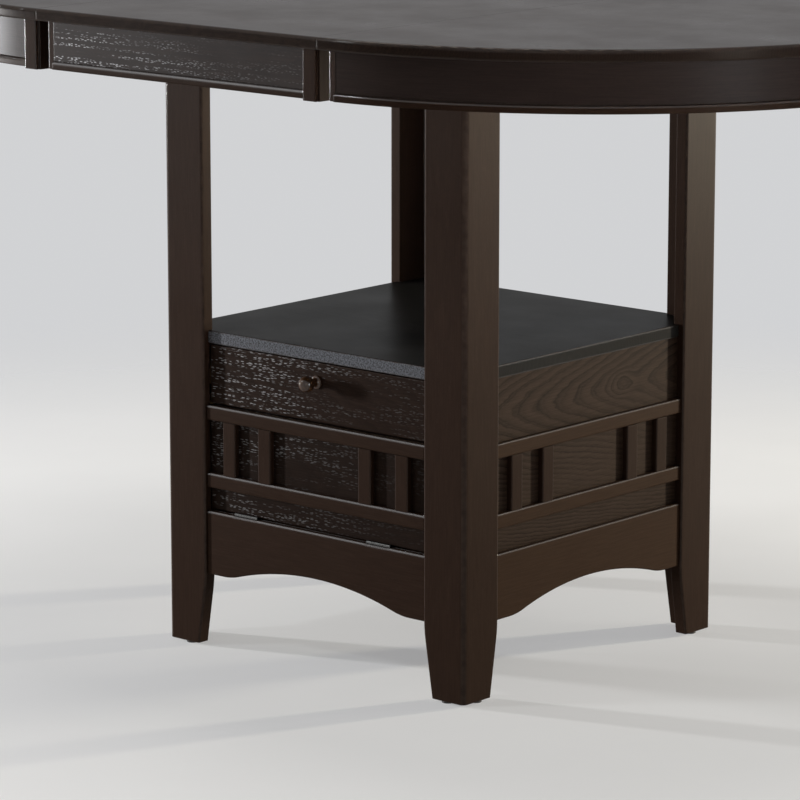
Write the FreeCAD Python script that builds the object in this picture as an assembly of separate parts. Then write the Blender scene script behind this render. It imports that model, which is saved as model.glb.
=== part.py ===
"""Counter-height oval dining table with a storage base.

The base is a square cabinet carried by four L-section corner posts, with a drawer over a drop-down door.
The top is two half-round halves on wooden extension slides, with a straight leaf between them.
Millimetres, +Z up, origin on the floor under the middle of the base, drawer and door facing -Y.
"""
import math
import os

import FreeCAD
import Part

V = FreeCAD.Vector

# Overall sizes
table_height = 914.4
end_diameter = 1066.8
leaf_length = 500.0
top_thickness = 16.0
rim_upper_radius = 4.8
rim_lower_radius = 2.5
base_width = 544.0

# Aprons under the top
apron_setback = 14.0
apron_thickness = 19.0
apron_height = 53.6
trim_height = 10.4
trim_projection = 4.0
trim_bead_radius = 3.6
end_block_wide = 24.0
end_block_narrow = 12.0
end_block_depth = 22.5
end_block_drop = 2.5
end_pad_proud = 1.5
end_pad_setback = 3.0
end_gap = 7.0
end_block_round = 4.0

# Corner posts
leg_width = 71.0
leg_thickness = 18.0
leg_corner_radius = 7.0
leg_edge_radius = 3.0
foot_height = 108.0
foot_angle = 9.0
foot_ease_radius = 170.0
glide_height = 3.0
glide_radius = 8.0

# Cabinet box
shelf_thickness = 18.0
shelf_setback = 10.0
panel_setback = 12.2
panel_thickness = 12.0
panel_cover = 15.0
divider_thickness = 12.0

# Arched bottom rails and planted lattice
arch_rail_thickness = 18.0
arch_rail_end_level = 105.0
arch_rail_height = 90.5
arch_rise = 25.5
arch_crown_radius = 490.0
arch_spring_radius = 100.0
lattice_skirt = 34.0
lattice_depth = 8.2
lattice_rail_height = 20.5
slat_length = 75.5
slat_width = 23.0
slat_end_gap = 31.5
slat_pair_gap = 43.0
lattice_edge_radius = 2.0

# Upper frame and extension slides
frame_rail_height = 60.0
frame_rail_thickness = 19.0
corner_block_leg = 52.0
corner_block_height = 30.0
bolt_radius = 3.0
bolt_length = 30.0
bolt_head_radius = 5.5
bolt_head_height = 4.0
bolt_drop = 46.0
bolt_head_clear = 8.5
slide_height = 34.0
slide_spacing = 300.0
slide_core_width = 30.0
slide_core_height = 28.0
slide_runner_width = 18.0
slide_runner_clear = 2.0
slide_tongue_height = 8.0
slide_tongue_depth = 7.5
slide_end_gap = 75.0
slide_tail = 400.0

# Leaf fitting
leaf_joint_gap = 0.2
pin_radius = 4.0
pin_length = 24.0
pin_offsets = (-380.0, 0.0, 380.0)
pin_slot_clearance = 0.4
pin_end_clearance = 1.0
leaf_cleat_size = 20.0
leaf_cleat_length = 380.0

# Drawer
drawer_front_height = 82.3
drawer_front_thickness = 18.0
drawer_front_edge_radius = 1.2
drawer_side_thickness = 12.0
drawer_side_height = 62.0
drawer_back_gap = 53.0
drawer_bottom_thickness = 5.0
drawer_bottom_lift = 5.0
drawer_groove_depth = 5.0
drawer_inset = 13.0
runner_height = 24.0
runner_tongue_height = 15.4
runner_tongue_depth = 5.7
knob_rise = 55.5
knob_radius = 11.0
knob_ring_radius = 9.0
knob_ring_height = 2.6
knob_waist_radius = 5.5
knob_waist_height = 7.0
knob_waist_land = 4.7
knob_screw_radius = 2.0
knob_screw_length = 30.0
knob_screw_head_radius = 4.5
knob_screw_head_height = 3.0

# Door and hinges
door_thickness = 15.0
hinge_spacing = 244.0
hinge_shift = -7.0
hinge_length = 42.0
hinge_leaf_width = 18.0
hinge_leaf_thickness = 1.2
hinge_leaf_gap = 0.4
hinge_knuckle_radius = 3.0
hinge_pin_radius = 1.2
hinge_middle_length = 16.8
catch_length = 40.0
catch_depth = 20.0
catch_height = 13.0
strike_length = 30.0
strike_thickness = 1.5
strike_height = 11.0
strike_drop = 1.0

# Fits
running_fit = 0.05
slide_fit = 0.3
front_gap = 1.7
swing_gap = 2.5

# Places worked out from the sizes above
top_level = table_height - top_thickness
top_radius = end_diameter / 2
joint_x = leaf_length / 2
apron_radius = top_radius - apron_setback
apron_level = top_level - apron_height
trim_level = apron_level - trim_height
half_base = base_width / 2
post_inner = half_base - leg_thickness
box_half = half_base - panel_setback
inner_half = box_half - panel_thickness
opening_half = half_base - leg_width
rail_face = box_half + lattice_depth
leg_top = top_level - slide_height
arch_rail_top_level = arch_rail_end_level + arch_rail_height
arch_peak_level = arch_rail_end_level + arch_rise
panel_bottom_level = arch_peak_level + panel_cover
lower_rail_level = arch_rail_top_level + lattice_skirt
upper_rail_level = lower_rail_level + lattice_rail_height + slat_length
hinge_stack = 2 * hinge_leaf_thickness + hinge_leaf_gap
hinge_z = arch_rail_top_level + hinge_stack / 2
hinge_y = -box_half - hinge_knuckle_radius - slide_fit
door_bottom = arch_rail_top_level + hinge_stack
door_top = upper_rail_level + lattice_rail_height
door_half = opening_half - front_gap
door_back = -box_half + door_thickness
drawer_front_bottom = door_top + swing_gap
drawer_front_top = drawer_front_bottom + drawer_front_height
drawer_front_back = -box_half + drawer_front_thickness
drawer_half = opening_half - drawer_inset
drawer_side_bottom = drawer_front_bottom + swing_gap
drawer_back_end = inner_half - drawer_back_gap
runner_level = drawer_side_bottom + drawer_side_height / 2
knob_level = drawer_front_bottom + knob_rise
shelf_bottom = drawer_front_top + front_gap
shelf_level = shelf_bottom + shelf_thickness
divider_top = drawer_front_bottom - swing_gap / 2


def block(x, y, z):
    """A box between two limits on each axis."""
    return Part.makeBox(x[1] - x[0], y[1] - y[0], z[1] - z[0], V(x[0], y[0], z[0]))


def prism(points, path):
    """A closed outline of straight edges, pushed along a vector."""
    outline = Part.makePolygon(points + points[:1])
    return Part.Face(outline).extrude(path)


def rod(radius, length, start, direction):
    """A round bar from a start point along a direction."""
    return Part.makeCylinder(radius, length, start, direction)


def turned(shape, degrees):
    """A copy turned about the table's upright axis."""
    copy = shape.copy()
    copy.rotate(V(0, 0, 0), V(0, 0, 1), degrees)
    return copy


def mirrored(shape):
    """A copy mirrored left to right."""
    return shape.mirror(V(0, 0, 0), V(1, 0, 0))


def runs_along(edge, axis):
    """True for a straight edge parallel to an axis."""
    if not isinstance(edge.Curve, Part.Line):
        return False
    return abs(edge.tangentAt(edge.FirstParameter).dot(axis)) > 0.999


def eased(shape, radius, chosen):
    """A shape with the chosen edges rounded over."""
    return shape.makeFillet(radius, [edge for edge in shape.Edges if chosen(edge)])


def near(value, target):
    """True when two coordinates are the same place."""
    return abs(value - target) < 0.05


def foot_outline():
    """The face of one post board, in Y and Z: straight down its outer edge, tapered at the inner foot."""
    angle = math.radians(foot_angle)
    inner = opening_half
    ease_mid = V(0, inner + foot_ease_radius * (1 - math.cos(angle / 2)),
                 foot_height - foot_ease_radius * math.sin(angle / 2))
    ease_end = V(0, inner + foot_ease_radius * (1 - math.cos(angle)),
                 foot_height - foot_ease_radius * math.sin(angle))
    toe = V(0, ease_end.y + (ease_end.z - glide_height) * math.tan(angle), glide_height)
    corners = [toe, V(0, half_base, glide_height), V(0, half_base, leg_top), V(0, inner, leg_top)]
    ease_start = V(0, inner, foot_height)
    edges = [Part.makeLine(a, b) for a, b in zip(corners, corners[1:] + [ease_start])]
    edges.append(Part.Arc(ease_start, ease_mid, ease_end).toShape())
    edges.append(Part.makeLine(ease_end, toe))
    return Part.Face(Part.Wire(edges))


def bolt_axes():
    """Start points and directions of the two frame bolts at the back right post."""
    level = leg_top - bolt_drop
    head_seat = post_inner - frame_rail_thickness
    along = head_seat - bolt_head_radius - bolt_head_clear
    return [(V(head_seat, along, level), V(1, 0, 0)), (V(along, head_seat, level), V(0, 1, 0))]


def corner_post():
    """The back right post: two boards in an L, rounded at the corner and housed for the cabinet box."""
    board = foot_outline()
    board.translate(V(post_inner, 0, 0))
    board = board.extrude(V(leg_thickness, 0, 0))
    twin = board.mirror(V(0, 0, 0), V(1, -1, 0))
    post = board.fuse(twin).removeSplitter()
    post = eased(post, leg_corner_radius, lambda e: runs_along(e, V(0, 0, 1))
                 and near(e.CenterOfMass.x, half_base) and near(e.CenterOfMass.y, half_base))
    post = eased(post, leg_edge_radius, lambda e: runs_along(e, V(0, 0, 1))
                 and near(max(e.CenterOfMass.x, e.CenterOfMass.y), half_base)
                 and near(min(e.CenterOfMass.x, e.CenterOfMass.y), opening_half))
    post = post.cut(block((0, box_half), (0, box_half), (panel_bottom_level, shelf_bottom)))
    for start, direction in bolt_axes():
        post = post.cut(rod(bolt_radius + running_fit, bolt_length, start, direction))
    return post


def glides_of_post():
    """Two nail-on glides, one under each board of the back right post."""
    middle = half_base - leg_thickness / 2
    along = half_base - leg_width / 2
    places = (V(middle, along, 0), V(along, middle, 0))
    return [rod(glide_radius, glide_height, place, V(0, 0, 1)) for place in places]


def arched_rail():
    """The right-hand bottom rail: an ogee arch between two flats, rebated behind for the panel."""
    radii = arch_crown_radius + arch_spring_radius
    run = math.sqrt(arch_rise * (2 * radii - arch_rise))
    turn_angle = math.asin(run / radii)

    def point(y, z):
        return V(rail_face - arch_rail_thickness, y, z)

    def ogee(side):
        def crown_arc(angle):
            drop = arch_crown_radius * (1 - math.cos(angle))
            return point(side * arch_crown_radius * math.sin(angle), arch_peak_level - drop)

        def spring_arc(angle):
            lift = arch_spring_radius * (1 - math.cos(angle))
            return point(side * (run - arch_spring_radius * math.sin(angle)), arch_rail_end_level + lift)

        upper = Part.Arc(crown_arc(0), crown_arc(turn_angle / 2), crown_arc(turn_angle))
        lower = Part.Arc(crown_arc(turn_angle), spring_arc(turn_angle / 2), spring_arc(0))
        return upper.toShape(), lower.toShape()

    corners = [point(-run, arch_rail_end_level), point(-opening_half, arch_rail_end_level),
               point(-opening_half, arch_rail_top_level), point(opening_half, arch_rail_top_level),
               point(opening_half, arch_rail_end_level), point(run, arch_rail_end_level)]
    edges = [Part.makeLine(a, b) for a, b in zip(corners, corners[1:])]
    edges.extend(ogee(1))
    edges.extend(ogee(-1))
    face = Part.Face(Part.Wire(Part.__sortEdges__(edges)))
    rail = face.extrude(V(arch_rail_thickness, 0, 0))
    rail = rail.cut(block((0, box_half), (-opening_half, opening_half),
                          (panel_bottom_level, arch_rail_top_level)))
    return eased(rail, lattice_edge_radius, lambda e: near(e.CenterOfMass.x, rail_face)
                 and not runs_along(e, V(0, 0, 1)))


def lattice_rail(level, half_length):
    """One planted rail of the right-hand lattice, with its front edges eased."""
    rail = block((box_half, rail_face), (-half_length, half_length), (level, level + lattice_rail_height))
    return eased(rail, lattice_edge_radius, lambda e: runs_along(e, V(0, 1, 0))
                 and near(e.CenterOfMass.x, rail_face))


def lattice_rails(half_length):
    """The two rails of one lattice, lower then upper."""
    return [lattice_rail(level, half_length) for level in (lower_rail_level, upper_rail_level)]


def lattice_slats():
    """The four slats between the rails of the right-hand lattice, in two pairs."""
    slats = []
    outer = opening_half - slat_end_gap - slat_width / 2
    inner = outer - slat_width - slat_pair_gap
    for middle in (-outer, -inner, inner, outer):
        slat = block((box_half, rail_face), (middle - slat_width / 2, middle + slat_width / 2),
                     (lower_rail_level + lattice_rail_height, upper_rail_level))
        slats.append(eased(slat, lattice_edge_radius, lambda e: runs_along(e, V(0, 0, 1))
                           and near(e.CenterOfMass.x, rail_face)))
    return slats


def shelf_board():
    """The cabinet top: a square board that reaches out between the posts and is notched round them."""
    reach = half_base - shelf_setback
    quarter = [(post_inner, -opening_half), (reach, -opening_half), (reach, opening_half),
               (post_inner, opening_half), (post_inner, post_inner)]
    points = []
    for step in range(4):
        for x, y in quarter:
            point = V(x, y, shelf_bottom)
            points.append(FreeCAD.Rotation(V(0, 0, 1), 90 * step).multVec(point))
    board = prism(points, V(0, 0, shelf_thickness))
    return eased(board, lattice_edge_radius, lambda e: not runs_along(e, V(0, 0, 1))
                 and near(max(abs(e.CenterOfMass.x), abs(e.CenterOfMass.y)), reach))


def front_arched_rail():
    """The front bottom rail, with gains in its ledge for the hinge knuckles."""
    rail = turned(arched_rail(), 270)
    depth = hinge_knuckle_radius + slide_fit
    for x in hinge_places():
        half = hinge_length / 2 + slide_fit
        rail = rail.cut(block((x - half, x + half), (hinge_y - depth, -box_half),
                              (hinge_z - depth, arch_rail_top_level)))
    return rail


def hinge_places():
    """The middle of each hinge along the door."""
    return (hinge_shift - hinge_spacing / 2, hinge_shift + hinge_spacing / 2)


def hinge_leaf(x, moving):
    """One hinge leaf: a flat plate rolled into the middle knuckle or into the two outer ones."""
    middle = hinge_middle_length / 2
    outer = hinge_length / 2
    if moving:
        knuckles = [(-middle + slide_fit / 2, middle - slide_fit / 2)]
        plate_z = (hinge_z + hinge_leaf_gap / 2, door_bottom)
        reliefs = [(-outer, -middle), (middle, outer)]
    else:
        knuckles = [(-outer, -middle - slide_fit / 2), (middle + slide_fit / 2, outer)]
        plate_z = (arch_rail_top_level, hinge_z - hinge_leaf_gap / 2)
        reliefs = [(-middle, middle)]
    leaf = block((x - outer, x + outer), (hinge_y, hinge_y + hinge_leaf_width), plate_z)
    for low, high in reliefs:
        leaf = leaf.cut(block((x + low, x + high), (hinge_y, -box_half), plate_z))
    axis = V(1, 0, 0)
    for low, high in knuckles:
        leaf = leaf.fuse(rod(hinge_knuckle_radius, high - low, V(x + low, hinge_y, hinge_z), axis))
    bore = rod(hinge_pin_radius + running_fit, hinge_length, V(x - outer, hinge_y, hinge_z), axis)
    return leaf.cut(bore).removeSplitter()


def hinge_pin(x):
    """The pin through all three knuckles of one hinge."""
    return rod(hinge_pin_radius, hinge_length, V(x - hinge_length / 2, hinge_y, hinge_z), V(1, 0, 0))


def drawer_side():
    """The right drawer side, grooved outside for its runner and inside for the drawer bottom."""
    outer = drawer_half
    inner = drawer_half - drawer_side_thickness
    length = (drawer_front_back, drawer_back_end)
    side = block((inner, outer), length, (drawer_side_bottom, drawer_side_bottom + drawer_side_height))
    groove_half = runner_tongue_height / 2 + slide_fit
    side = side.cut(block((outer - runner_tongue_depth - slide_fit, outer), length,
                          (runner_level - groove_half, runner_level + groove_half)))
    return side.cut(block((inner, inner + drawer_groove_depth), length, drawer_bottom_levels()))


def drawer_bottom_levels():
    """Lower and upper face of the drawer bottom."""
    low = drawer_side_bottom + drawer_bottom_lift
    return (low, low + drawer_bottom_thickness)


def drawer_runner():
    """The right wooden runner: a bearer on the side panel with a tongue in the drawer side's groove."""
    face = drawer_half + slide_fit
    tip = drawer_half - runner_tongue_depth
    half = runner_height / 2
    tongue = runner_tongue_height / 2
    outline = [(inner_half, -half), (inner_half, half), (face, half), (face, tongue), (tip, tongue),
               (tip, -tongue), (face, -tongue), (face, -half)]
    start = drawer_front_back + slide_fit
    points = [V(x, start, runner_level + z) for x, z in outline]
    return prism(points, V(0, inner_half - start, 0))


def turned_knob():
    """The drawer knob, turned as a foot ring, a waist and a ball, with a blind screw hole."""

    def point(radius, height):
        return V(radius, -box_half - height, knob_level)

    neck = math.sqrt(knob_radius ** 2 - knob_waist_radius ** 2)
    ball_middle = knob_waist_height + knob_waist_land + neck
    ball_back = point(knob_waist_radius, ball_middle - neck)
    ball_side = point(knob_radius, ball_middle)
    nose = point(0, ball_middle + knob_radius)
    ring_edge = point(knob_ring_radius, knob_ring_height)
    waist = point(knob_waist_radius, knob_waist_height)
    cove_depth = knob_waist_height - knob_ring_height
    cove_width = knob_ring_radius - knob_waist_radius
    cove = point(knob_ring_radius - cove_width * math.sin(math.pi / 4),
                 knob_ring_height + cove_depth * (1 - math.cos(math.pi / 4)))
    edges = [Part.makeLine(point(0, 0), point(knob_ring_radius, 0)),
             Part.makeLine(point(knob_ring_radius, 0), ring_edge),
             Part.Arc(ring_edge, cove, waist).toShape(),
             Part.makeLine(waist, ball_back),
             Part.Arc(ball_back, ball_side, nose).toShape(),
             Part.makeLine(nose, point(0, 0))]
    profile = Part.Face(Part.Wire(edges))
    knob = profile.revolve(V(0, 0, knob_level), V(0, 1, 0), 360)
    depth = knob_screw_length - drawer_front_thickness + slide_fit
    return knob.cut(rod(knob_screw_radius + running_fit, depth, V(0, -box_half, knob_level), V(0, -1, 0)))


def knob_screw():
    """The screw that holds the knob from inside the drawer."""
    seat = V(0, drawer_front_back, knob_level)
    head = rod(knob_screw_head_radius, knob_screw_head_height, seat, V(0, 1, 0))
    shank = rod(knob_screw_radius, knob_screw_length, seat, V(0, -1, 0))
    return head.fuse(shank)


def drawer_front():
    """The drawer front with its screw hole and eased front edges."""
    front = block((-door_half, door_half), (-box_half, drawer_front_back),
                  (drawer_front_bottom, drawer_front_top))
    front = eased(front, drawer_front_edge_radius, lambda e: near(e.CenterOfMass.y, -box_half))
    return front.cut(rod(knob_screw_radius + running_fit, drawer_front_thickness,
                         V(0, -box_half, knob_level), V(0, 1, 0)))


def frame_rail(half_length):
    """A right-hand upper frame rail between the post tops."""
    return block((post_inner - frame_rail_thickness, post_inner), (-half_length, half_length),
                 (leg_top - frame_rail_height, leg_top))


def drilled(rail):
    """A frame rail with the holes of every frame bolt that meets it."""
    for step in range(4):
        for start, direction in bolt_axes():
            hole = rod(bolt_radius + running_fit, bolt_length, start, direction)
            rail = rail.cut(turned(hole, 90 * step))
    return rail


def frame_bolts():
    """Eight bolts, two at each post, with their heads inside the frame."""
    bolts = []
    for step in range(4):
        for start, direction in bolt_axes():
            shank = rod(bolt_radius, bolt_length - slide_fit, start, direction)
            head = rod(bolt_head_radius, bolt_head_height, start, direction * -1)
            bolts.append(turned(shank.fuse(head), 90 * step))
    return bolts


def corner_block():
    """The three-cornered block in the back right corner of the upper frame."""
    corner = post_inner - frame_rail_thickness
    low = leg_top - corner_block_height
    tip = corner - corner_block_leg
    points = [V(corner, corner, low), V(tip, corner, low), V(corner, tip, low)]
    return prism(points, V(0, 0, corner_block_height))


def slide_core(y):
    """The fixed member of one extension slide, grooved along both sides."""
    half = slide_core_width / 2
    core = block((-post_inner, post_inner), (y - half, y + half), (leg_top, leg_top + slide_core_height))
    groove = slide_tongue_height / 2 + slide_fit
    middle = slide_tongue_level()
    for side in (-1, 1):
        mouth = y + side * half
        bottom = mouth - side * (slide_tongue_depth + slide_fit)
        core = core.cut(block((-post_inner, post_inner), sorted((mouth, bottom)),
                              (middle - groove, middle + groove)))
    return core


def slide_tongue_level():
    """Height of the middle of the slide tongues."""
    return leg_top + slide_core_height / 2


def slide_reach():
    """How far the moving slide members run out under a half, short of the inside of its apron."""
    widest = slide_spacing / 2 + slide_core_width / 2 + slide_fit + slide_runner_width
    return math.sqrt((apron_radius - apron_thickness) ** 2 - widest ** 2) - slide_end_gap


def slide_runner(y, side):
    """A moving slide member under the right half, with its tongue in the fixed member at y."""
    near_face = y + side * (slide_core_width / 2 + slide_fit)
    far_face = near_face + side * slide_runner_width
    tip = near_face - side * slide_tongue_depth
    tongue = slide_tongue_height / 2
    middle = slide_tongue_level()
    low = leg_top + slide_runner_clear
    outline = [(far_face, low), (far_face, top_level), (near_face, top_level),
               (near_face, middle + tongue), (tip, middle + tongue),
               (tip, middle - tongue), (near_face, middle - tongue), (near_face, low)]
    points = [V(joint_x - slide_tail, across, z) for across, z in outline]
    return prism(points, V(slide_tail + slide_reach(), 0, 0))


def pin_axes():
    """Start points of the alignment pins, half their length inside the right half."""
    level = top_level + top_thickness / 2
    return [V(joint_x - pin_length / 2, offset, level) for offset in pin_offsets]


def half_top():
    """The right half of the table top: a half disc with a rounded rim and drilled joint edge."""
    rim = Part.Arc(V(joint_x, -top_radius, top_level), V(joint_x + top_radius, 0, top_level),
                   V(joint_x, top_radius, top_level)).toShape()
    edge = Part.makeLine(V(joint_x, top_radius, top_level), V(joint_x, -top_radius, top_level))
    board = Part.Face(Part.Wire([rim, edge])).extrude(V(0, 0, top_thickness))
    board = rounded_rim(board, lambda e: not isinstance(e.Curve, Part.Line))
    for start in pin_axes():
        board = board.cut(rod(pin_radius + running_fit, pin_length, start, V(1, 0, 0)))
    return board


def rounded_rim(board, on_rim):
    """A top board with a large round over its rim and a smaller one beneath."""
    board = eased(board, rim_upper_radius, lambda e: on_rim(e) and near(e.CenterOfMass.z, table_height))
    return eased(board, rim_lower_radius, lambda e: on_rim(e) and near(e.CenterOfMass.z, top_level))


def apron_section(axis_distance):
    """Upright section of an apron board, as distance from the axis and height."""
    inner = axis_distance - apron_thickness
    return Part.Face(Part.makePolygon([V(inner, 0, apron_level), V(axis_distance, 0, apron_level),
                                       V(axis_distance, 0, top_level), V(inner, 0, top_level),
                                       V(inner, 0, apron_level)]))


def trim_section(axis_distance):
    """Section of the strip under an apron, with a rounded nose in front of the apron face."""
    inner = axis_distance - apron_thickness
    nose = axis_distance + trim_projection
    turn = trim_bead_radius * (1 - math.sqrt(0.5))
    start = V(nose, 0, apron_level - trim_bead_radius)
    end = V(nose - trim_bead_radius, 0, apron_level)
    edges = [Part.makeLine(V(inner, 0, trim_level), V(nose, 0, trim_level)),
             Part.makeLine(V(nose, 0, trim_level), start),
             Part.Arc(start, V(nose - turn, 0, apron_level - turn), end).toShape(),
             Part.makeLine(end, V(inner, 0, apron_level)),
             Part.makeLine(V(inner, 0, apron_level), V(inner, 0, trim_level))]
    return Part.Face(Part.Wire(edges))


def bent_round_half(section):
    """A section swept round the right half from one end block to the other."""
    section.rotate(V(0, 0, 0), V(0, 0, 1), -90)
    strip = section.revolve(V(0, 0, 0), V(0, 0, 1), 180)
    strip.translate(V(joint_x, 0, 0))
    for side, width in ((-1, end_block_narrow), (1, end_block_wide)):
        across = sorted((0, side * end_diameter))
        strip = strip.cut(block((joint_x, joint_x + end_gap + width), across, (trim_level, top_level)))
    return strip


def narrow_end_block(x, side):
    """The plain upright block at an apron end, flush with the apron and rounded beside the joint."""
    front = side * apron_radius
    y = sorted((front, side * (apron_radius - end_block_depth)))
    return eased(block(x, y, (trim_level, top_level)), end_block_round,
                 lambda e: runs_along(e, V(0, 0, 1)) and near(e.CenterOfMass.y, front)
                 and near(e.CenterOfMass.x, x[0]))


def wide_end_block(x, pad_x, side):
    """The longer upright block at the other apron end, with a pad that stands proud of the strip."""
    levels = (trim_level - end_block_drop, top_level)
    front = side * (apron_radius + trim_projection + end_pad_proud)
    pad = block(pad_x, sorted((side * apron_radius, front)), levels)
    pad = eased(pad, end_pad_proud, lambda e: near(e.CenterOfMass.y, front)
                and not near(e.CenterOfMass.z, top_level))
    y = sorted((side * apron_radius, side * (apron_radius - end_block_depth)))
    return block(x, y, levels).fuse(pad).removeSplitter()


def half_end_blocks():
    """The two end blocks of the right half, narrow in front and wide behind."""
    start = joint_x + end_gap
    end = start + end_block_wide
    return [narrow_end_block((start, start + end_block_narrow), -1),
            wide_end_block((start, end), (start + end_pad_setback, end), 1)]


def leaf_span():
    """Where the front leaf apron starts and ends, between its narrow and wide end blocks."""
    return (-joint_x + end_gap + end_block_narrow, joint_x - end_gap - end_block_wide)


def leaf_strip(section):
    """A section run straight along the front of the leaf between its end blocks."""
    section.rotate(V(0, 0, 0), V(0, 0, 1), -90)
    low, high = leaf_span()
    section.translate(V(low, 0, 0))
    return section.extrude(V(high - low, 0, 0))


def leaf_end_blocks():
    """The two end blocks at the front of the leaf."""
    low, high = leaf_span()
    end = high + end_block_wide
    return [narrow_end_block((low - end_block_narrow, low), -1),
            wide_end_block((high, end), (high, end - end_pad_setback), -1)]


def leaf_board():
    """The leaf, with slots in its ends that drop over the alignment pins."""
    half = joint_x - leaf_joint_gap
    board = block((-half, half), (-top_radius, top_radius), (top_level, table_height))
    board = rounded_rim(board, lambda e: runs_along(e, V(1, 0, 0)))
    radius = pin_radius + pin_slot_clearance
    depth = pin_length / 2 + pin_end_clearance
    for start in pin_axes():
        slot = rod(radius, depth, V(half - depth, start.y, start.z), V(1, 0, 0))
        mouth = block((half - depth, half), (start.y - radius, start.y + radius), (top_level, start.z))
        slot = slot.fuse(mouth)
        board = board.cut(slot).cut(turned(slot, 180))
    return board


def leaf_cleat():
    """The glue strip behind the front leaf apron."""
    back = -(apron_radius - apron_thickness)
    half = leaf_cleat_length / 2
    return block((-half, half), (back, back + leaf_cleat_size), (top_level - leaf_cleat_size, top_level))


def both_ways(pieces):
    """Pieces and their copies turned half round the table."""
    return pieces + [turned(piece, 180) for piece in pieces]


nodes = {}

# Corner posts and glides
for name, degrees in (("back_right", 0), ("back_left", 90), ("front_left", 180), ("front_right", 270)):
    nodes["leg_" + name] = [turned(corner_post(), degrees)]
nodes["foot_glides"] = [turned(glide, 90 * step) for step in range(4) for glide in glides_of_post()]

# Cabinet box
nodes["cabinet_top"] = [shelf_board()]
box_levels = (panel_bottom_level, shelf_bottom)
nodes["panel_right"] = [block((inner_half, box_half), (-box_half, box_half), box_levels)]
nodes["panel_left"] = [block((-box_half, -inner_half), (-box_half, box_half), box_levels)]
nodes["panel_back"] = [block((-inner_half, inner_half), (inner_half, box_half), box_levels)]
nodes["cabinet_bottom"] = [block((-inner_half, inner_half), (-box_half, inner_half),
                                 (arch_rail_top_level - panel_thickness, arch_rail_top_level))]
nodes["drawer_divider"] = [block((-inner_half, inner_half), (door_back + slide_fit, inner_half),
                                 (divider_top - divider_thickness, divider_top))]

# Arched rails and the fixed lattices
for name, degrees in (("right", 0), ("back", 90), ("left", 180)):
    nodes["arched_rail_" + name] = [turned(arched_rail(), degrees)]
    nodes["lattice_rails_" + name] = [turned(rail, degrees) for rail in lattice_rails(opening_half)]
    nodes["lattice_slats_" + name] = [turned(slat, degrees) for slat in lattice_slats()]
nodes["arched_rail_front"] = [front_arched_rail()]

# Upper frame and the fixed slide members
long_rail = drilled(frame_rail(post_inner))
cross_rail = drilled(frame_rail(post_inner - frame_rail_thickness))
nodes["frame_rails_long"] = both_ways([turned(long_rail, 90)])
nodes["frame_rails_cross"] = both_ways([cross_rail])
nodes["frame_corner_blocks"] = [turned(corner_block(), 90 * step) for step in range(4)]
nodes["frame_bolts"] = frame_bolts()
nodes["slide_cores"] = [slide_core(side * slide_spacing / 2) for side in (-1, 1)]

# Drawer
nodes["drawer_front"] = [drawer_front()]
nodes["drawer_side_right"] = [drawer_side()]
nodes["drawer_side_left"] = [mirrored(drawer_side())]
drawer_inner = drawer_half - drawer_side_thickness
drawer_back_face = drawer_back_end - drawer_side_thickness
drawer_floor_half = drawer_inner + drawer_groove_depth
nodes["drawer_back"] = [block((-drawer_inner, drawer_inner), (drawer_back_face, drawer_back_end),
                              (drawer_side_bottom, drawer_side_bottom + drawer_side_height))]
nodes["drawer_bottom"] = [block((-drawer_floor_half, drawer_floor_half),
                                (drawer_front_back, drawer_back_face), drawer_bottom_levels())]
nodes["drawer_knob"] = [turned_knob()]
nodes["knob_screw"] = [knob_screw()]
nodes["drawer_runner_right"] = [drawer_runner()]
nodes["drawer_runner_left"] = [mirrored(drawer_runner())]

# Door, hinges and catch
nodes["door_panel"] = [block((-door_half, door_half), (-box_half, door_back), (door_bottom, door_top))]
nodes["door_rails"] = [turned(rail, 270) for rail in lattice_rails(door_half)]
nodes["door_slats"] = [turned(slat, 270) for slat in lattice_slats()]
nodes["hinge_moving_leaves"] = [hinge_leaf(x, True) for x in hinge_places()]
nodes["hinge_fixed_leaves"] = [hinge_leaf(x, False) for x in hinge_places()]
nodes["hinge_pins"] = [hinge_pin(x) for x in hinge_places()]
catch_front = door_back + strike_thickness + slide_fit
catch_top = divider_top - divider_thickness
strike_top = catch_top - strike_drop
nodes["door_catch"] = [block((-catch_length / 2, catch_length / 2),
                             (catch_front, catch_front + catch_depth),
                             (catch_top - catch_height, catch_top))]
nodes["door_strike"] = [block((-strike_length / 2, strike_length / 2),
                              (door_back, door_back + strike_thickness),
                              (strike_top - strike_height, strike_top))]

# Table top halves
right_half = {
    "top": [half_top()],
    "apron": [bent_round_half(apron_section(apron_radius))],
    "apron_strip": [bent_round_half(trim_section(apron_radius))],
    "end_blocks": half_end_blocks(),
    "slide_runners": [slide_runner(slide_spacing / 2, 1), slide_runner(-slide_spacing / 2, 1)],
    "alignment_pins": [rod(pin_radius, pin_length, start, V(1, 0, 0)) for start in pin_axes()],
}
for name, pieces in right_half.items():
    nodes[name + "_right"] = pieces
    nodes[name + "_left"] = [turned(piece, 180) for piece in pieces]

# Leaf
nodes["leaf"] = [leaf_board()]
nodes["leaf_aprons"] = both_ways([leaf_strip(apron_section(apron_radius))])
nodes["leaf_apron_strips"] = both_ways([leaf_strip(trim_section(apron_radius))])
nodes["leaf_end_blocks"] = both_ways(leaf_end_blocks())
nodes["leaf_cleats"] = both_ways([leaf_cleat()])

os.makedirs("parts", exist_ok=True)
for name, pieces in nodes.items():
    shape = pieces[0] if len(pieces) == 1 else Part.makeCompound(pieces)
    shape.exportStep("parts/" + name + ".step")
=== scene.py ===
"""Studio scene of the counter-height dining table with a storage base, in metres and watts."""
import math
from dataclasses import dataclass, replace

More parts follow.
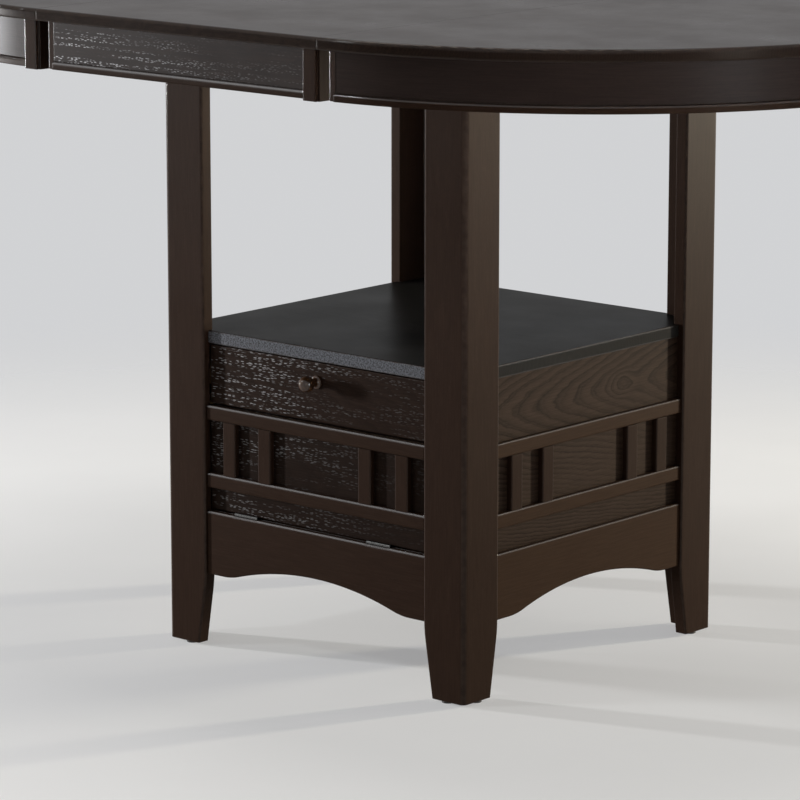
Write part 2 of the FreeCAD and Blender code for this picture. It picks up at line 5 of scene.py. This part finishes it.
import bpy
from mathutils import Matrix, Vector


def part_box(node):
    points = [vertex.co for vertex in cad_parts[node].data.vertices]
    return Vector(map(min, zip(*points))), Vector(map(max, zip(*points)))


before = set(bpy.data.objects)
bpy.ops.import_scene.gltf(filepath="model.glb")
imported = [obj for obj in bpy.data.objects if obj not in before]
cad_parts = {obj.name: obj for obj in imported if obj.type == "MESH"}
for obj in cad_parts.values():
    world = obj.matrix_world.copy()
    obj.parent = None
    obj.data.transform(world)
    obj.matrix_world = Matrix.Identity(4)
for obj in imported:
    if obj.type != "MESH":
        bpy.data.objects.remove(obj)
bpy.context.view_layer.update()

# Camera fitted to the photograph: turn and tilt in degrees, lens and sensor in millimetres
camera_place = Vector((3.620, -4.233, 1.491))
camera_turn = 41.14
camera_tilt = 11.69
camera_lens = 182.3
camera_sensor = 36.0


class Graph:
    """A material's nodes, each made from its kind, its settings and what feeds its inputs."""

    def __init__(self, tree):
        self.tree = tree
        self.tree.nodes.clear()

    def node(self, kind, inputs=None, **settings):
        made = self.tree.nodes.new("ShaderNode" + kind)
        for name, value in settings.items():
            setattr(made, name, value)
        for name, value in (inputs or {}).items():
            self.feed(made.inputs[name], value)
        return made

    def feed(self, socket, value):
        if isinstance(value, bpy.types.NodeSocket):
            self.tree.links.new(value, socket)
        else:
            socket.default_value = value

    def place(self):
        """Where the point lies in its object."""
        return self.node("TexCoord").outputs["Object"]

    def math(self, operation, first, second=0.0):
        return self.node("Math", {0: first, 1: second}, operation=operation).outputs[0]

    def product(self, first, *others):
        for other in others:
            first = self.math("MULTIPLY", first, other)
        return first

    def line(self, value, slope, start):
        """The value times the slope, on top of the start."""
        return self.math("ADD", self.math("MULTIPLY", value, slope), start)

    def vector(self, x, y, z):
        return self.node("CombineXYZ", {0: x, 1: y, 2: z}).outputs[0]

    def split(self, vector):
        return self.node("SeparateXYZ", {0: vector}).outputs

    def vector_math(self, operation, first, second=(0.0, 0.0, 0.0)):
        return self.node("VectorMath", {0: first, 1: second}, operation=operation).outputs["Vector"]

    def length(self, vector):
        return self.node("VectorMath", {0: vector}, operation="LENGTH").outputs["Value"]

    def noise(self, place, scale=1.0, detail=2.0, roughness=0.5, output="Fac"):
        inputs = {"Vector": place, "Scale": scale, "Detail": detail, "Roughness": roughness}
        return self.node("TexNoise", inputs).outputs[output]

    def band(self, value, low, high, to_low=0.0, to_high=1.0):
        """A smooth step from one value to another, while the input goes from low to high."""
        inputs = {"Value": value, "From Min": low, "From Max": high, "To Min": to_low, "To Max": to_high}
        return self.node("MapRange", inputs, interpolation_type="SMOOTHSTEP").outputs["Result"]

    def mix(self, share, first, second):
        """A colour between two, by the colour sockets of a node that also mixes other kinds."""
        factor, colour_a, colour_b, result = 0, 6, 7, 2
        made = self.node("Mix", {factor: share, colour_a: first, colour_b: second}, data_type="RGBA")
        return made.outputs[result]


def new_material(name):
    """An empty node material and its graph."""
    material = bpy.data.materials.new(name)
    material.use_nodes = True
    return material, Graph(material.node_tree)


def colour(red, green, blue):
    """A colour with full alpha, as the sockets take it."""
    return (red, green, blue, 1.0)


def scaled(tint, share):
    """A darker or paler form of a colour."""
    return colour(*(share * part for part in tint[:3]))


@dataclass
class Timber:
    """How a wood looks, and how its flats and edges take gloss."""

    # Colours of the body, of rubbed edges (paler on the legs as a painted highlight), of pore flecks (pale
    # painted glints on the flecked veneers) and of gloss
    dark: tuple
    light: tuple
    wear_and_edge_light: tuple
    pore_and_glint: tuple
    gloss_tint: tuple
    # Growth rings: their spacing and strength, how they crowd outwards, how far they wander and jag
    ring: float
    ring_contrast: float
    crowding: float
    wander: float
    jag: float
    # Fibre, and pore flecks (pale painted glints on the flecked veneers) with their cells per metre along
    # and across the grain
    fibre_contrast: float
    pore_and_glint_amount: float
    fleck_cells: tuple
    # Gloss of the wood, and the clear coat on its flats and its edges
    roughness: float
    specular: float
    coat: float
    edge_coat: float
    coat_roughness: float
    coat_index: float
    # Depth of the grain, radius of the eased edges, and whether only the upper edges have the edge's coat
    relief: float
    ease: float
    upper_only: bool = False


white = colour(1.0, 1.0, 1.0)

# Stained solid wood
espresso = Timber(
    dark=colour(0.0215, 0.0112, 0.0073), light=colour(0.0360, 0.0198, 0.0130),
    wear_and_edge_light=colour(0.042, 0.025, 0.017), pore_and_glint=colour(0.050, 0.031, 0.023), gloss_tint=colour(1.0, 0.86, 0.72),
    ring=0.0065, ring_contrast=0.40, crowding=0.0, wander=0.020, jag=0.0,
    fibre_contrast=0.7, pore_and_glint_amount=0.20, fleck_cells=(125.0, 640.0),
    roughness=0.40, specular=0.032, coat=0.0, edge_coat=0.10, coat_roughness=0.13, coat_index=1.7,
    relief=0.00004, ease=0.0014)
front_espresso = replace(espresso, edge_coat=1.0, coat_index=3.0, ease=0.0040, upper_only=True)
strip_espresso = replace(front_espresso, edge_coat=0.7, coat_index=1.7, ease=0.0022)
# Paler and warmer than the espresso: painted warm bounce light on the side pieces
bounce_lit_side_espresso = replace(
    espresso, dark=colour(0.0305, 0.0160, 0.0092), light=colour(0.0515, 0.0282, 0.0163),
    edge_coat=0.8, ease=0.0022, upper_only=True)
# Paler rubbed edges on the legs: wear, and a painted highlight that lightens the rounded corners
leg_espresso_lit_corners = replace(espresso, wear_and_edge_light=colour(0.070, 0.044, 0.031), edge_coat=0.12, ease=0.0022)
block_espresso = replace(espresso, edge_coat=0.60)
knob_gloss = replace(
    espresso, dark=colour(0.0360, 0.0150, 0.0060), light=colour(0.0620, 0.0280, 0.0120),
    wear_and_edge_light=colour(0.0700, 0.0330, 0.0140), specular=0.02, coat=0.6, edge_coat=0.6, coat_roughness=0.08)

# Stained veneers
# The flecked veneers carry near-white painted glints in their pores
glint_flecked_veneer = replace(
    espresso, dark=colour(0.0122, 0.0066, 0.0045), light=colour(0.0268, 0.0150, 0.0105),
    pore_and_glint=colour(0.900, 0.890, 0.900), ring=0.0090, ring_contrast=0.65, pore_and_glint_amount=0.36, relief=0.00012)
door_veneer = replace(
    glint_flecked_veneer, dark=colour(0.0090, 0.0050, 0.0035), light=colour(0.0200, 0.0113, 0.0080),
    pore_and_glint_amount=0.22)
leaf_apron_veneer = replace(
    glint_flecked_veneer, pore_and_glint_amount=0.8, fleck_cells=(170.0, 640.0), specular=0.10, gloss_tint=white)
bent_apron_veneer = replace(
    espresso, dark=colour(0.0222, 0.0146, 0.0122), light=colour(0.0366, 0.0250, 0.0212),
    gloss_tint=white, roughness=0.36, specular=0.045)
figured_veneer = replace(
    espresso, dark=colour(0.0100, 0.0060, 0.0044), light=colour(0.0680, 0.0430, 0.0300),
    pore_and_glint=colour(0.060, 0.040, 0.029), ring=0.0190, ring_contrast=1.0, crowding=8.0, wander=0.010, jag=0.012,
    fibre_contrast=0.35, relief=0.00008)
top_veneer = replace(
    figured_veneer, dark=colour(0.0085, 0.0052, 0.0040), light=colour(0.0340, 0.0208, 0.0155),
    ring_contrast=0.80, roughness=0.30, specular=0.04, edge_coat=0.20, relief=0.00005, ease=0.0030)
shelf_veneer = replace(
    top_veneer, dark=colour(0.0190, 0.0178, 0.0168), light=colour(0.0330, 0.0318, 0.0305),
    gloss_tint=white, roughness=0.36, specular=0.015, edge_coat=0.7, ease=0.0022)

# Unfinished wood
raw_hardwood = Timber(
    dark=colour(0.300, 0.185, 0.095), light=colour(0.470, 0.320, 0.185),
    wear_and_edge_light=colour(0.520, 0.380, 0.240), pore_and_glint=colour(0.220, 0.130, 0.065), gloss_tint=white,
    ring=0.0050, ring_contrast=0.60, crowding=0.0, wander=0.020, jag=0.0,
    fibre_contrast=1.0, pore_and_glint_amount=0.35, fleck_cells=(90.0, 520.0),
    roughness=0.62, specular=0.40, coat=0.0, edge_coat=0.0, coat_roughness=0.3, coat_index=1.5,
    relief=0.00008, ease=0.0014)
raw_ply = replace(
    raw_hardwood, dark=colour(0.400, 0.275, 0.150), light=colour(0.560, 0.420, 0.260),
    wear_and_edge_light=colour(0.600, 0.460, 0.300), pore_and_glint=colour(0.300, 0.190, 0.100), ring=0.0110, ring_contrast=0.70)

# Places read from the frame
joint_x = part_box("leaf")[1].x
apron_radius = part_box("apron_right")[1].x - joint_x
apron_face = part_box("leaf_aprons")[0].y
panel_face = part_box("panel_right")[1].x
shelf_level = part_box("cabinet_top")[1].z
top_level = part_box("leaf")[1].z


class Grain:
    """Where a point lies in the wood: along the grain, then in the two directions across it."""

    def __init__(self, graph, run, across, depth):
        self.graph = graph
        self.run = run
        self.across = across
        self.depth = depth
        self.place = graph.vector(run, across, depth)

    def counted(self, cells):
        """The place in cells, which are so many to a metre along the grain and across it."""
        along, over = cells
        return self.graph.vector_math("MULTIPLY", self.place, (along, over, over))

    def noise(self, cells, detail, roughness=0.5, output="Fac"):
        return self.graph.noise(self.counted(cells), 1.0, detail, roughness, output)


def straight_grain(axis):
    """Grain along one of the table's axes, with the next two axes in turn across it."""

    def laid(graph):
        split = graph.split(graph.place())
        run = "XYZ".index(axis)
        return Grain(graph, split[run], split[(run + 1) % 3], split[(run + 2) % 3])

    return laid


def bent_grain(centre_x):
    """Grain that follows a round apron: the arc's length, then the radius and the height."""

    def laid(graph):
        split = graph.split(graph.place())
        out = graph.product(graph.math("SUBTRACT", split[0], centre_x), math.copysign(1.0, centre_x))
        radius = graph.length(graph.vector(out, split[1], 0.0))
        angle = graph.math("ARCTAN2", split[1], out)
        return Grain(graph, graph.product(angle, apron_radius), radius, split[2])

    return laid


def ring_distance(grain, timber, heart, taper, eye):
    """How far a point lies from the log's heart line, as the growth rings count it."""
    graph = grain.graph
    sway = grain.noise(cells=(7.0, 18.0), detail=6.0, roughness=0.62, output="Color")
    sway = graph.vector_math("SUBTRACT", sway, (0.5, 0.5, 0.5))
    reach = 2.0 * timber.wander
    log = graph.vector_math("SUBTRACT", graph.vector(grain.across, grain.depth, 0.0), (*heart, 0.0))
    log = graph.vector_math("ADD", log, graph.vector_math("MULTIPLY", sway, (reach, reach, 0.0)))
    out = graph.length(log)
    if timber.crowding:
        out = graph.product(out, graph.line(out, timber.crowding, 1.0))
    distance = graph.math("SUBTRACT", out, graph.product(grain.run, taper))
    if eye:
        eye_radius, eye_swell, flattening = 0.045, 0.040, 1.6
        off = graph.vector_math("SUBTRACT", grain.place, (*eye, 0.0))
        off = graph.length(graph.vector_math("MULTIPLY", off, (1.0, flattening, 0.0)))
        distance = graph.math("SUBTRACT", distance, graph.band(off, 0.0, eye_radius, eye_swell, 0.0))
    if timber.jag:
        jag = grain.noise(cells=(28.0, 75.0), detail=3.0, roughness=0.6)
        distance = graph.math("ADD", distance, graph.product(jag, timber.jag))
    # Added so that every distance is above zero
    shift = 2.0
    return graph.math("ADD", distance, shift)


def growth_rings(grain, timber, heart, taper, eye):
    """The share of dark late wood: it grows through each ring and ends sharply, with finer rings in it."""
    graph = grain.graph
    rise, fall = (0.10, 0.85), (0.88, 1.0)
    finer_share, finer_rise, finer_depth = 0.31, (0.2, 0.9), (0.55, 1.0)
    weak_to_strong, strengths = (0.25, 0.75), (0.35, 1.0)
    distance = ring_distance(grain, timber, heart, taper, eye)
    turn = graph.math("FRACT", graph.math("DIVIDE", distance, timber.ring))
    late = graph.math("SUBTRACT", graph.band(turn, *rise), graph.band(turn, *fall))
    finer_turn = graph.math("FRACT", graph.math("DIVIDE", distance, finer_share * timber.ring))
    finer = graph.band(finer_turn, *finer_rise, *finer_depth)
    strength = graph.band(grain.noise(cells=(2.0, 10.0), detail=2.0), *weak_to_strong, *strengths)
    return graph.product(late, finer, graph.product(strength, timber.ring_contrast))


def pore_flecks_and_glints(grain, timber, glint_falloff):
    """The share of open pores, pale painted glints on the flecked veneers: dashes along the grain, in rows
    and in patches, fading along the grain where a painted falloff is given.
    """
    graph = grain.graph
    dash_rim, dash_pick, faded_glints = (0.45, 0.32), (0.05, 0.60), 0.16
    row_rim, patch_rim = (0.44, 0.56), (0.32, 0.55)
    cells = graph.node("TexVoronoi", {"Vector": grain.counted(timber.fleck_cells), "Scale": 1.0}).outputs
    pick = graph.split(cells["Color"])[0]
    dash = graph.product(graph.band(cells["Distance"], *dash_rim), graph.band(pick, *dash_pick))
    rows = graph.band(grain.noise(cells=(6.0, 230.0), detail=1.0), *row_rim)
    patch = graph.band(grain.noise(cells=(5.0, 22.0), detail=2.0), *patch_rim)
    pores_and_glints = graph.product(dash, rows, patch, timber.pore_and_glint_amount)
    # Painted falloff: the glints fade along the grain
    if glint_falloff:
        pores_and_glints = graph.product(pores_and_glints, graph.band(grain.run, *glint_falloff, 1.0, faded_glints))
    return pores_and_glints


def eased_edges(graph, timber, bent):
    """The rounded normal, the same in the piece's own axes, and the share of edge.

    An edge is where the rounded normal turns away from the axes, or on a bent piece from the upright
    round face and from the level faces.
    """
    on_face, on_edge = 0.997, 0.965
    rounded = graph.node("Bevel", {"Radius": timber.ease}, samples=4).outputs["Normal"]
    own = graph.node("VectorTransform", {0: rounded}, vector_type="NORMAL",
                     convert_from="WORLD", convert_to="OBJECT").outputs[0]
    facing = graph.split(graph.vector_math("ABSOLUTE", own))
    if bent:
        level = graph.length(graph.vector(facing[0], facing[1], 0.0))
    else:
        level = graph.math("MAXIMUM", facing[0], facing[1])
    return rounded, own, graph.band(graph.math("MAXIMUM", level, facing[2]), on_face, on_edge)


def with_painted_edge_sheen(graph, body, tint, own):
    """A body colour with a speckled bluish-grey painted reflection where the piece faces the front or the
    back.
    """
    turned, speck_rim, speck_shares = (0.60, 0.80), (0.36, 0.62), (0.30, 1.0)
    facing = graph.split(graph.vector_math("ABSOLUTE", own))
    speck = graph.band(graph.noise(graph.place(), scale=420.0), *speck_rim, *speck_shares)
    return graph.mix(graph.product(graph.band(facing[1], *turned), speck), body, tint)


def wood(name, timber, grain_laid, heart=(0.0, 0.0), taper=0.04, eye=None, bent=False, glint_falloff=None,
         edge_sheen=None):
    """A wood with growth rings round a heart line, pores that are pale painted glints on the flecked
    veneers, soft gloss, and shiny edges paler with wear and on the legs with a painted highlight.

    The heart is where the log's middle lies, in the two directions across the grain, and the taper of
    the log draws pointed arches on a face that lies near it. An eye is a small knot, along and across
    the grain. The pale painted glints thin out from the first place along the grain to the second, a
    painted falloff. An edge sheen is a speckled bluish-grey painted reflection on the front and back edge.
    """
    fibre_rim, wear_and_light_rim, wear_and_light_shares = (0.30, 0.70), (0.30, 0.75), (0.15, 0.70)
    fibre_middle, fibre_darkening, fibre_lightening = 0.60, 0.5, 0.4
    cloud_gloss, fibre_gloss, fibre_height = 0.16, 0.06, 0.35
    upper_rim = (0.02, 0.25)
    material, graph = new_material(name)
    grain = grain_laid(graph)
    rings = growth_rings(grain, timber, heart, taper, eye)
    pores_and_glints = pore_flecks_and_glints(grain, timber, glint_falloff)
    fibre = grain.noise(cells=(22.0, 900.0), detail=3.0, roughness=0.6)
    rounded, own, edge = eased_edges(graph, timber, bent)

    tone = graph.band(fibre, *fibre_rim, fibre_middle - fibre_darkening * timber.fibre_contrast,
                      fibre_middle + fibre_lightening * timber.fibre_contrast)
    body = graph.mix(tone, timber.dark, timber.light)
    body = graph.mix(rings, body, timber.dark)
    # Painted reflection: a speckled bluish-grey sheen on the front and back edge
    if edge_sheen:
        body = with_painted_edge_sheen(graph, body, edge_sheen, own)
    # Pale pore flecks; on the flecked veneers they are painted glints
    body = graph.mix(pores_and_glints, body, timber.pore_and_glint)
    rubbed = graph.band(graph.noise(graph.place(), scale=70.0, detail=3.0), *wear_and_light_rim, *wear_and_light_shares)
    # Rubbed edges in a paler colour: wear, and on the legs a painted highlight on the rounded corners
    body = graph.mix(graph.product(edge, rubbed), body, timber.wear_and_edge_light)

    cloud = graph.noise(graph.place(), scale=9.0, detail=4.0, roughness=0.6)
    gloss = graph.line(cloud, cloud_gloss, timber.roughness - 0.5 * (cloud_gloss + fibre_gloss))
    gloss = graph.math("ADD", gloss, graph.product(fibre, fibre_gloss))
    height = graph.math("SUBTRACT", graph.product(fibre, fibre_height), pores_and_glints)
    bump = graph.node("Bump", {
        "Height": height, "Distance": timber.relief, "Strength": 1.0, "Normal": rounded})
    shine = timber.coat
    if timber.edge_coat:
        polished = edge
        if timber.upper_only:
            polished = graph.product(edge, graph.band(graph.split(own)[2], *upper_rim))
        shine = graph.band(polished, 0.0, 1.0, timber.coat, timber.edge_coat)
    shader = graph.node("BsdfPrincipled", {
        "Base Color": body, "Roughness": gloss, "Normal": bump.outputs[0], "Coat Weight": shine,
        "Coat Roughness": timber.coat_roughness, "Coat IOR": timber.coat_index, "Coat Normal": rounded,
        "Specular IOR Level": timber.specular, "Specular Tint": timber.gloss_tint})
    graph.node("OutputMaterial", {"Surface": shader.outputs[0]})
    return material


def metal(name, tint, roughness, brushed_axis):
    """A drawn or plated steel, finely brushed along one axis and a little stained."""
    stained_share, stain_rim = 0.62, (0.40, 0.80)
    brush_gloss, gloss_drop, brush_depth = 0.18, 0.06, 0.00003
    material, graph = new_material(name)
    brush = straight_grain(brushed_axis)(graph).noise(cells=(60.0, 3500.0), detail=2.0)
    stain = graph.noise(graph.place(), scale=160.0, detail=4.0, roughness=0.6)
    body = graph.mix(graph.band(stain, *stain_rim), tint, scaled(tint, stained_share))
    gloss = graph.line(brush, brush_gloss, roughness - gloss_drop)
    bump = graph.node("Bump", {"Height": brush, "Distance": brush_depth, "Strength": 1.0})
    shader = graph.node("BsdfPrincipled", {
        "Base Color": body, "Roughness": gloss, "Normal": bump.outputs[0], "Metallic": 1.0})
    graph.node("OutputMaterial", {"Surface": shader.outputs[0]})
    return material


def plastic(name, tint, roughness):
    """A moulded plastic with a fine sparked grain."""
    pale_share, cloud_rim = 1.35, (0.3, 0.7)
    spark_gloss, spark_depth = 0.2, 0.00008
    material, graph = new_material(name)
    spark = graph.noise(graph.place(), scale=1400.0, detail=2.0)
    cloud = graph.noise(graph.place(), scale=45.0, detail=3.0)
    body = graph.mix(graph.band(cloud, *cloud_rim), tint, scaled(tint, pale_share))
    gloss = graph.line(spark, spark_gloss, roughness - 0.5 * spark_gloss)
    bump = graph.node("Bump", {"Height": spark, "Distance": spark_depth, "Strength": 1.0})
    shader = graph.node("BsdfPrincipled", {
        "Base Color": body, "Roughness": gloss, "Normal": bump.outputs[0]})
    graph.node("OutputMaterial", {"Surface": shader.outputs[0]})
    return material


def dress(material, *names):
    """Gives CAD nodes their material."""
    for name in names:
        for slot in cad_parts[name].material_slots:
            slot.material = material


# Espresso solid wood, with its hearts given in the two axes that follow the grain's
rail_heart_offset, rail_heart_height = 0.10, 0.62
upright_heart = (0.16, 0.11)
dress(wood("espresso_x", front_espresso, straight_grain("X"), heart=(rail_heart_offset, rail_heart_height)),
      "arched_rail_front", "arched_rail_back", "lattice_rails_back", "door_rails", "leaf_apron_strips",
      "frame_rails_long", "frame_corner_blocks", "cabinet_bottom")
# Side rails in the paler espresso, with painted warm bounce light
dress(wood("espresso_y", bounce_lit_side_espresso, straight_grain("Y"), heart=(rail_heart_height, rail_heart_offset)),
      "arched_rail_right", "arched_rail_left", "lattice_rails_right", "lattice_rails_left",
      "frame_rails_cross")
dress(wood("espresso_z", espresso, straight_grain("Z"), heart=upright_heart),
      "door_slats", "lattice_slats_right", "lattice_slats_left", "lattice_slats_back", "leaf_end_blocks")
dress(wood("espresso_legs", leg_espresso_lit_corners, straight_grain("Z"), heart=upright_heart),
      "leg_front_right", "leg_front_left", "leg_back_right", "leg_back_left")
dress(wood("espresso_blocks", block_espresso, straight_grain("Z"), heart=upright_heart),
      "end_blocks_right", "end_blocks_left")
dress(wood("espresso_bent_right", strip_espresso, bent_grain(joint_x), bent=True), "apron_strip_right")
dress(wood("espresso_bent_left", strip_espresso, bent_grain(-joint_x), bent=True), "apron_strip_left")
dress(wood("knob_wood", knob_gloss, straight_grain("Y"), heart=(0.40, 0.02)), "drawer_knob")

# Veneers, cut near the heart where they show pointed arches
apron_heart = (0.40, 0.80)
panel_heart_height = 0.383
slab_heart_depth = 0.03
# Pale flecks on these veneers are painted glints, fading along the grain as a painted falloff
dress(wood("veneer_front", glint_flecked_veneer, straight_grain("X"), heart=(-panel_face + 0.10, 0.33),
           taper=-0.22, glint_falloff=(-0.12, 0.16)),
      "drawer_front")
dress(wood("veneer_door", door_veneer, straight_grain("X"), heart=(-panel_face + 0.06, 0.27),
           taper=-0.18, glint_falloff=(-0.16, 0.12)),
      "door_panel")
dress(wood("veneer_apron", leaf_apron_veneer, straight_grain("X"), heart=(apron_face + 0.10, 0.80),
           glint_falloff=(-0.22, 0.10)),
      "leaf_aprons")
dress(wood("veneer_back", figured_veneer, straight_grain("X"),
           heart=(panel_face - 0.012, panel_heart_height), taper=0.42),
      "panel_back")
dress(wood("veneer_right", figured_veneer, straight_grain("Y"),
           heart=(panel_heart_height, panel_face - 0.010), taper=0.45, eye=(0.075, 0.386)),
      "panel_right")
dress(wood("veneer_left", figured_veneer, straight_grain("Y"), heart=(0.360, -panel_face + 0.014),
           taper=-0.40),
      "panel_left")
dress(wood("veneer_bent_right", bent_apron_veneer, bent_grain(joint_x), heart=apron_heart, bent=True),
      "apron_right")
dress(wood("veneer_bent_left", bent_apron_veneer, bent_grain(-joint_x), heart=apron_heart, bent=True),
      "apron_left")
dress(wood("veneer_top", top_veneer, straight_grain("X"), heart=(0.05, top_level - slab_heart_depth),
           taper=0.20, bent=True),
      "top_right", "top_left", "leaf")
# Speckled bluish-grey painted reflection on the shelf's front and back edge
dress(wood("veneer_shelf", shelf_veneer, straight_grain("X"), heart=(-0.03, shelf_level - slab_heart_depth),
           taper=0.20, edge_sheen=colour(0.165, 0.170, 0.188)),
      "cabinet_top")

# Unfinished wood inside and underneath
dress(wood("hardwood_x", raw_hardwood, straight_grain("X"), heart=(0.05, 0.70)),
      "drawer_back", "slide_cores", "slide_runners_right", "slide_runners_left",
      "alignment_pins_right", "alignment_pins_left", "leaf_cleats")
dress(wood("hardwood_y", raw_hardwood, straight_grain("Y"), heart=(0.30, 0.12)),
      "drawer_side_right", "drawer_side_left", "drawer_runner_right", "drawer_runner_left")
dress(wood("ply_x", raw_ply, straight_grain("X"), heart=(0.02, 0.33), taper=0.15),
      "drawer_bottom", "drawer_divider")

# Fittings
dress(metal("hinge_steel", colour(0.11, 0.107, 0.104), roughness=0.22, brushed_axis="X"),
      "hinge_fixed_leaves", "hinge_moving_leaves", "hinge_pins")
dress(metal("zinc_steel", colour(0.58, 0.59, 0.60), roughness=0.34, brushed_axis="Z"),
      "frame_bolts", "knob_screw", "door_strike")
dress(plastic("glide_plastic", colour(0.035, 0.030, 0.027), roughness=0.5), "foot_glides")
dress(plastic("catch_plastic", colour(0.075, 0.055, 0.042), roughness=0.45), "door_catch")


def shown_ray(graph):
    """One for the rays that show the surround, straight, mirrored or through something clear."""
    rays = graph.node("LightPath").outputs
    shown = graph.math("MAXIMUM", rays["Is Camera Ray"], rays["Is Transmission Ray"])
    return graph.math("MAXIMUM", shown, rays["Is Glossy Ray"])


def pale_floor():
    """A pale floor that keeps the shadow, is lifted where it shows and fades out round the table."""
    size, fade_from, fade_to = 8.0, 1.2, 2.6
    darker, paler, mottle_rim = colour(0.52, 0.515, 0.505), colour(0.54, 0.535, 0.525), (0.3, 0.7)
    lift, lift_tint = 0.32, colour(0.99, 0.99, 1.0)
    bpy.ops.mesh.primitive_plane_add(size=size, location=(0, 0, 0))
    floor = bpy.context.object
    floor.name = "floor"
    material, graph = new_material("floor_pale")
    mottle = graph.noise(graph.place(), scale=3.0, detail=3.0)
    body = graph.mix(graph.band(mottle, *mottle_rim), darker, paler)
    shader = graph.node("BsdfPrincipled", {
        "Base Color": body, "Roughness": 0.8, "Emission Color": lift_tint,
        "Emission Strength": graph.product(shown_ray(graph), lift)})
    fade = graph.band(graph.length(graph.place()), fade_from, fade_to)
    clear = graph.node("BsdfTransparent")
    surface = graph.node("MixShader", {0: fade, 1: shader.outputs[0], 2: clear.outputs[0]})
    graph.node("OutputMaterial", {"Surface": surface.outputs[0]})
    floor.data.materials.append(material)


def even_surround():
    """An even pale surround that lights the table less than it shows."""
    lighting, shown = 0.13, 0.66
    world = bpy.data.worlds.new("studio")
    bpy.context.scene.world = world
    world.use_nodes = True
    graph = Graph(world.node_tree)
    strength = graph.band(shown_ray(graph), 0.0, 1.0, lighting, shown)
    sky = graph.node("Background", {"Color": colour(0.97, 0.98, 1.0), "Strength": strength})
    graph.node("OutputWorld", {"Surface": sky.outputs[0]})


def softbox(name, place, target, width, height, power, tint, spread=180.0):
    """A rectangular studio lamp aimed at a point; a small spread, in degrees, is a grid in front of it."""
    light = bpy.data.lights.new(name, "AREA")
    light.shape = "RECTANGLE"
    light.size = width
    light.size_y = height
    light.energy = power
    light.color = tint
    light.spread = math.radians(spread)
    lamp = bpy.data.objects.new(name, light)
    bpy.context.scene.collection.objects.link(lamp)
    lamp.location = place
    lamp.visible_camera = False
    lamp.rotation_euler = (Vector(target) - Vector(place)).to_track_quat("-Z", "Y").to_euler()


def studio_lamps():
    """Lamps that graze the front and right side, edge their ledges with light, and fill in."""
    cool = (0.93, 0.97, 1.0)
    # Far off, where the front's upper edges mirror it
    softbox("left_front", place=(-7.25, -8.23, 9.35), target=(0.0, -0.27, 0.4),
            width=1.45, height=1.2, power=240.0, tint=cool)
    # Low and grazing the right side and the front, so that the slats throw dark strips beside them
    softbox("right_back", place=(1.95, 3.50, 0.65), target=(0.26, 0.0, 0.4),
            width=0.2, height=0.6, power=165.0, tint=(1.0, 0.94, 0.78))
    softbox("left_side", place=(-3.40, -1.48, 0.60), target=(0.0, -0.26, 0.4),
            width=0.16, height=0.5, power=138.0, tint=(0.97, 0.98, 1.0))
    # Where the right side's upper edges mirror it
    softbox("right_ledge", place=(2.25, 2.50, 2.2), target=(0.27, 0.0, 0.4),
            width=0.8, height=1.0, power=10.0, tint=(1.0, 0.95, 0.86))
    # Soft light on the top, the round end and the near corner
    softbox("overhead", place=(0.0, 0.0, 3.2), target=(0.0, 0.0, 0.9),
            width=1.6, height=1.2, power=30.0, tint=(1.0, 0.98, 0.95))
    softbox("right_end", place=(4.15, -0.80, 1.0), target=(0.72, -0.30, 0.87),
            width=0.4, height=0.6, power=0.65, tint=cool, spread=14.0)
    softbox("camera_side", place=(3.3, -3.7, 1.5), target=(0.25, -0.25, 0.5),
            width=1.5, height=1.5, power=9.0, tint=(1.0, 0.86, 0.74))


def studio_camera():
    """The camera at the photograph's place and angle."""
    data = bpy.data.cameras.new("camera")
    data.lens = camera_lens
    data.sensor_width = camera_sensor
    camera = bpy.data.objects.new("camera", data)
    bpy.context.scene.collection.objects.link(camera)
    camera.location = camera_place
    camera.rotation_euler = (math.radians(90 - camera_tilt), 0.0, math.radians(camera_turn))
    bpy.context.scene.camera = camera


pale_floor()
even_surround()
studio_lamps()
studio_camera()
bpy.context.scene.view_settings.view_transform = "Standard"
